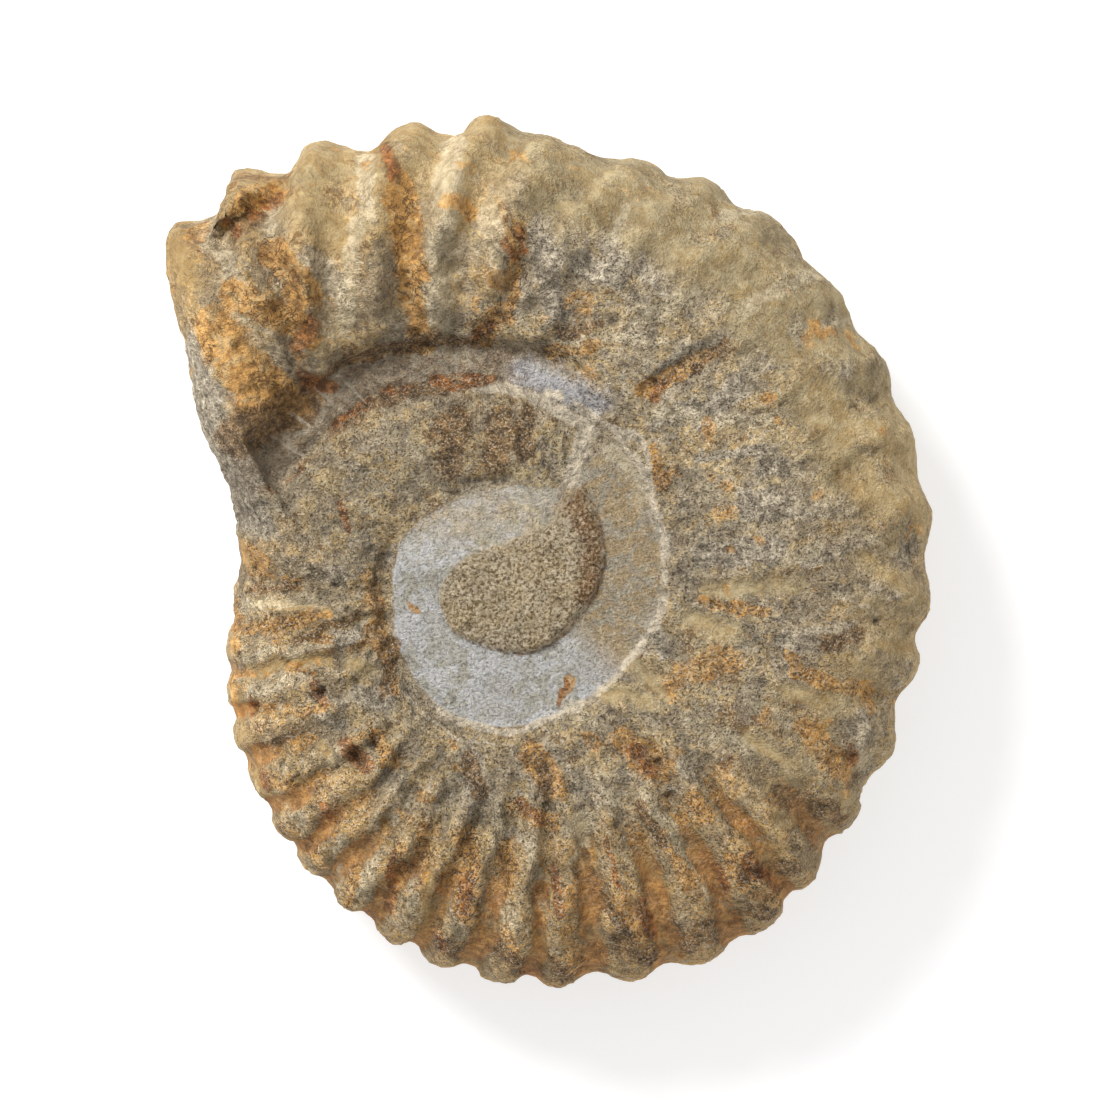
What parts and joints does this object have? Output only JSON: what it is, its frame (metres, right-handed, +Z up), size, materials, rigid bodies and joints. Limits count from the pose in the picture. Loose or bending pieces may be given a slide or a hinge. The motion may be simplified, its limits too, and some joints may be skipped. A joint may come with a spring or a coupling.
{
  "type": "ammonite fossil",
  "caption": "Coiled, ribbed ammonite fossil of weathered tan limestone, ground open to a pale plateau in the middle and broken at its aperture.",
  "frame": {"origin": "middle of the box, at the flat worn underside that the fossil rests on", "axes": "+Z up out of the side with the ground plateau, along the axis of the coil; +Y towards the top of the largest whorl, the long way of the fossil; +X to the right as seen from above"},
  "size_m": [0.0872, 0.0996, 0.0335],
  "materials": {
    "stone": "matte"
  },
  "bodies": {
    "root": {"ammonite": "stone"}
  },
  "joints": []
}
